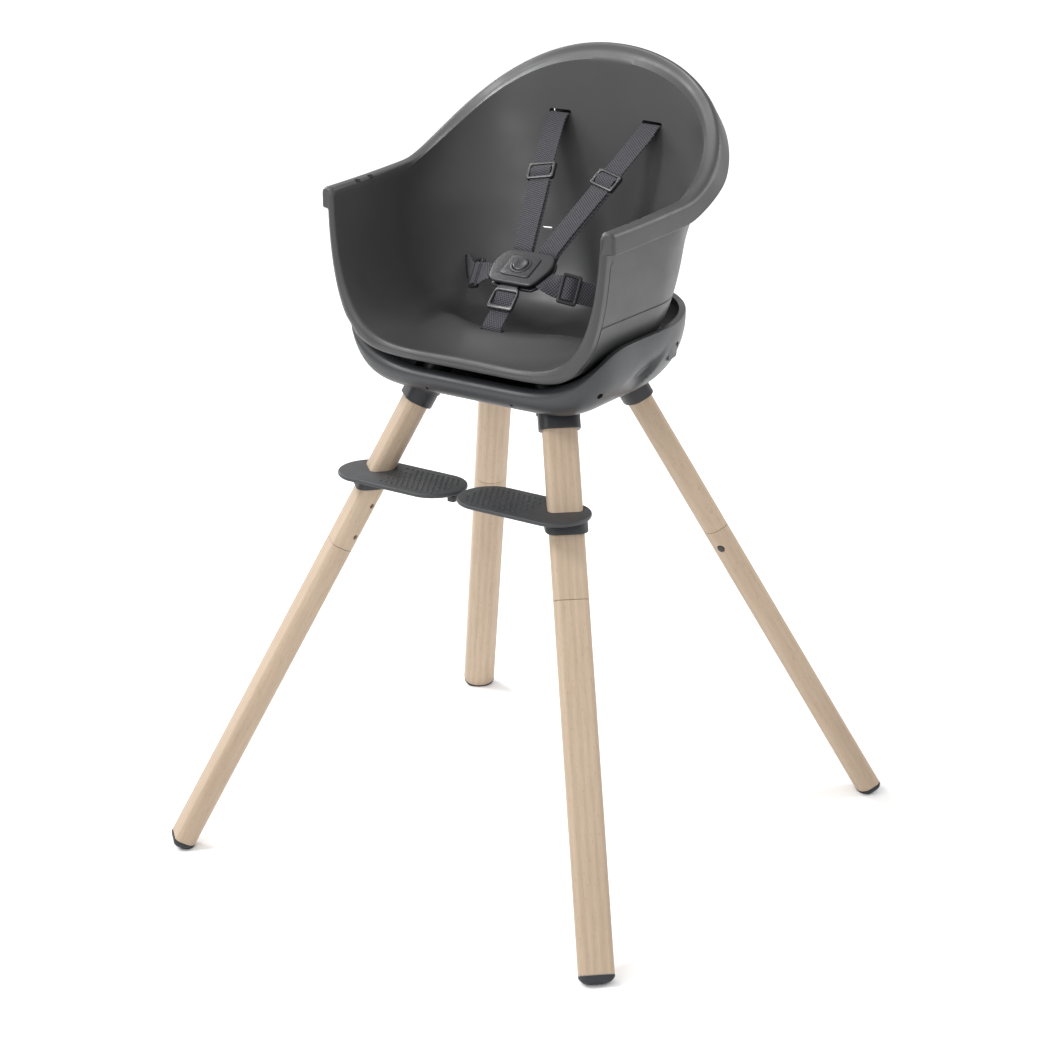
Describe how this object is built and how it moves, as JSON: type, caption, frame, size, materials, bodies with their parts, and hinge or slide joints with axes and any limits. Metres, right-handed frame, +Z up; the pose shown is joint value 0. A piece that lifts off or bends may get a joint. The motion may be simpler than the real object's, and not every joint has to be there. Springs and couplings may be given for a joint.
{
  "type": "baby high chair",
  "caption": "Baby high chair: moulded bucket seat with a five-point harness in a booster base on splayed two-part wooden legs, with height-adjustable footplates.",
  "frame": {"origin": "centre of the four feet on the floor, the bottom centre of the bounding box", "axes": "+Z up, -Y towards the front of the chair, +X to the right of someone who looks at its front"},
  "size_m": [0.654, 0.6528, 0.94],
  "materials": {
    "shell_plastic": "satin graphite moulding, fine grain",
    "base_plastic": "satin graphite moulding",
    "collar_plastic": "dark satin moulding",
    "plate_plastic": "matte moulding with raised grip dots",
    "button_plastic": "matte moulding",
    "buckle_plastic": "smooth satin acetal",
    "webbing": "coarse woven webbing",
    "beech": "pale beech, clear matt lacquer",
    "foot_rubber": "soft matte rubber",
    "steel": "plain bar"
  },
  "bodies": {
    "chair_frame": {"upper_leg_front_left": "beech", "lower_leg_front_left": "beech", "leg_spigot_front_left": "steel", "foot_cap_front_left": "foot_rubber", "leg_collar_front_left": "collar_plastic", "upper_leg_front_right": "beech", "lower_leg_front_right": "beech", "leg_spigot_front_right": "steel", "foot_cap_front_right": "foot_rubber", "leg_collar_front_right": "collar_plastic", "upper_leg_rear_left": "beech", "lower_leg_rear_left": "beech", "leg_spigot_rear_left": "steel", "foot_cap_rear_left": "foot_rubber", "leg_collar_rear_left": "collar_plastic", "upper_leg_rear_right": "beech", "lower_leg_rear_right": "beech", "leg_spigot_rear_right": "steel", "foot_cap_rear_right": "foot_rubber", "leg_collar_rear_right": "collar_plastic", "base_bowl": "base_plastic", "base_deck": "collar_plastic"},
    "seat": {"seat_shell": "shell_plastic", "seat_under_pan": "shell_plastic", "buckle_body": "buckle_plastic", "buckle_cover": "buckle_plastic", "crotch_tongue": "buckle_plastic", "crotch_strap": "webbing", "crotch_anchor": "buckle_plastic", "tongue_left": "buckle_plastic", "shoulder_strap_left": "webbing", "shoulder_slider_left": "buckle_plastic", "shoulder_anchor_left": "buckle_plastic", "waist_strap_left": "webbing", "waist_slider_left": "buckle_plastic", "waist_anchor_left": "buckle_plastic", "tongue_right": "buckle_plastic", "shoulder_strap_right": "webbing", "shoulder_slider_right": "buckle_plastic", "shoulder_anchor_right": "buckle_plastic", "waist_strap_right": "webbing", "waist_slider_right": "buckle_plastic", "waist_anchor_right": "buckle_plastic"},
    "harness_button": {"buckle_button": "buckle_plastic"},
    "seat_release_left": {"release_button_left": "button_plastic"},
    "seat_release_right": {"release_button_right": "button_plastic"},
    "snap_button_front_left": {"leg_button_front_left": "button_plastic"},
    "snap_button_front_right": {"leg_button_front_right": "button_plastic"},
    "snap_button_rear_left": {"leg_button_rear_left": "button_plastic"},
    "snap_button_rear_right": {"leg_button_rear_right": "button_plastic"},
    "foot_rest_left": {"footplate_left": "plate_plastic", "footplate_clamp_left": "plate_plastic"},
    "foot_rest_latch_left": {"footplate_latch_left": "button_plastic"},
    "foot_rest_right": {"footplate_right": "plate_plastic", "footplate_clamp_right": "plate_plastic"},
    "foot_rest_latch_right": {"footplate_latch_right": "button_plastic"}
  },
  "joints": [
    {"name": "seat_lift", "type": "slide", "parent": "chair_frame", "child": "seat", "axis": [0, 0, 1], "range_m": [0, 0.1]},
    {"name": "buckle_press", "type": "slide", "parent": "seat", "child": "harness_button", "axis": [0, 0.4591, -0.8884], "range_m": [0, 0.0025], "stiffness_N_per_m": 1500, "springref_m": -0.003},
    {"name": "release_press_left", "type": "slide", "parent": "chair_frame", "child": "seat_release_left", "axis": [0.9757, -0.2189, 0], "range_m": [0, 0.005], "stiffness_N_per_m": 1500, "springref_m": -0.003},
    {"name": "release_press_right", "type": "slide", "parent": "chair_frame", "child": "seat_release_right", "axis": [-0.9757, -0.2189, 0], "range_m": [0, 0.005], "stiffness_N_per_m": 1500, "springref_m": -0.003},
    {"name": "snap_press_front_left", "type": "slide", "parent": "chair_frame", "child": "snap_button_front_left", "axis": [0.1273, -0.932, 0.3395], "range_m": [0, 0.004], "stiffness_N_per_m": 1200, "springref_m": -0.002},
    {"name": "snap_press_front_right", "type": "slide", "parent": "chair_frame", "child": "snap_button_front_right", "axis": [-0.1273, -0.932, 0.3395], "range_m": [0, 0.004], "stiffness_N_per_m": 1200, "springref_m": -0.002},
    {"name": "snap_press_rear_left", "type": "slide", "parent": "chair_frame", "child": "snap_button_rear_left", "axis": [0.1273, 0.932, 0.3395], "range_m": [0, 0.004], "stiffness_N_per_m": 1200, "springref_m": -0.002},
    {"name": "snap_press_rear_right", "type": "slide", "parent": "chair_frame", "child": "snap_button_rear_right", "axis": [-0.1273, 0.932, 0.3395], "range_m": [0, 0.004], "stiffness_N_per_m": 1200, "springref_m": -0.002},
    {"name": "footplate_height_left", "type": "slide", "parent": "chair_frame", "child": "foot_rest_left", "axis": [-0.3272, -0.3626, -0.8726], "range_m": [0, 0.086]},
    {"name": "latch_pull_left", "type": "slide", "parent": "foot_rest_left", "child": "foot_rest_latch_left", "axis": [1, 0, 0], "range_m": [0, 0.005], "stiffness_N_per_m": 1000, "springref_m": -0.003},
    {"name": "footplate_height_right", "type": "slide", "parent": "chair_frame", "child": "foot_rest_right", "axis": [0.3272, -0.3626, -0.8726], "range_m": [0, 0.086]},
    {"name": "latch_pull_right", "type": "slide", "parent": "foot_rest_right", "child": "foot_rest_latch_right", "axis": [-1, 0, 0], "range_m": [0, 0.005], "stiffness_N_per_m": 1000, "springref_m": -0.003}
  ]
}
